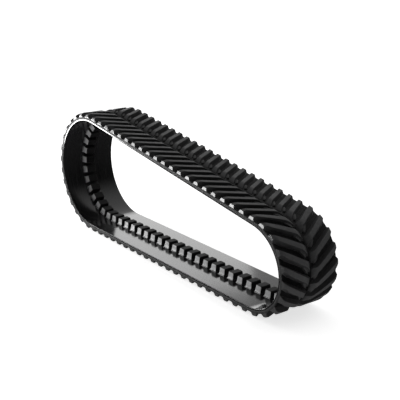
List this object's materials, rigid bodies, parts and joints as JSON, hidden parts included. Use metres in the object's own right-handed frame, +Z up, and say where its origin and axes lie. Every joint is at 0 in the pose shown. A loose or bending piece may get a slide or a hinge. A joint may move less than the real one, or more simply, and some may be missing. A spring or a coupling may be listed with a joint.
{
  "type": "rubber track",
  "caption": "Endless rubber track with a chevron of angled tread lugs outside and a row of guide lugs inside, for a tracked tractor's drive wheel and idler.",
  "frame": {"origin": "on the ground, under the middle of the track's length and width", "axes": "+X along the length towards the small front end, +Y across the belt to its left side, +Z up"},
  "size_m": [4.48, 0.762, 1.578],
  "materials": {
    "tread_rubber": "moulded black tread rubber, satin on the running faces and matt on the flanks",
    "carcass_rubber": "moulded black rubber, matt, with fine trimming marks along the edges",
    "inner_rubber": "smooth black rubber, polished by the moulding plate",
    "guide_rubber": "hard moulded black rubber, satin",
    "steel_cord_ply": "rubber-coated sheet of fine steel cords",
    "main_steel_cord": "rubber-coated layer of endless steel cables"
  },
  "bodies": {
    "root": {"inner_cover": "inner_rubber", "inner_ply": "steel_cord_ply", "main_cord_layer": "main_steel_cord", "transverse_ply": "steel_cord_ply", "bias_ply_inner": "steel_cord_ply", "bias_ply_outer": "steel_cord_ply", "edge_strip_right": "carcass_rubber", "edge_strip_left": "carcass_rubber", "outer_cover": "carcass_rubber", "guide_lugs_01": "guide_rubber", "guide_lugs_02": "guide_rubber", "guide_lugs_03": "guide_rubber", "guide_lugs_04": "guide_rubber", "guide_lugs_05": "guide_rubber", "guide_lugs_06": "guide_rubber", "guide_lugs_07": "guide_rubber", "guide_lugs_08": "guide_rubber", "guide_lugs_09": "guide_rubber", "guide_lugs_10": "guide_rubber", "guide_lugs_11": "guide_rubber", "tread_right_01": "tread_rubber", "tread_right_02": "tread_rubber", "tread_right_03": "tread_rubber", "tread_right_04": "tread_rubber", "tread_right_05": "tread_rubber", "tread_right_06": "tread_rubber", "tread_right_07": "tread_rubber", "tread_right_08": "tread_rubber", "tread_right_09": "tread_rubber", "tread_right_10": "tread_rubber", "tread_right_11": "tread_rubber", "tread_left_01": "tread_rubber", "tread_left_02": "tread_rubber", "tread_left_03": "tread_rubber", "tread_left_04": "tread_rubber", "tread_left_05": "tread_rubber", "tread_left_06": "tread_rubber", "tread_left_07": "tread_rubber", "tread_left_08": "tread_rubber", "tread_left_09": "tread_rubber", "tread_left_10": "tread_rubber", "tread_left_11": "tread_rubber"}
  },
  "joints": []
}
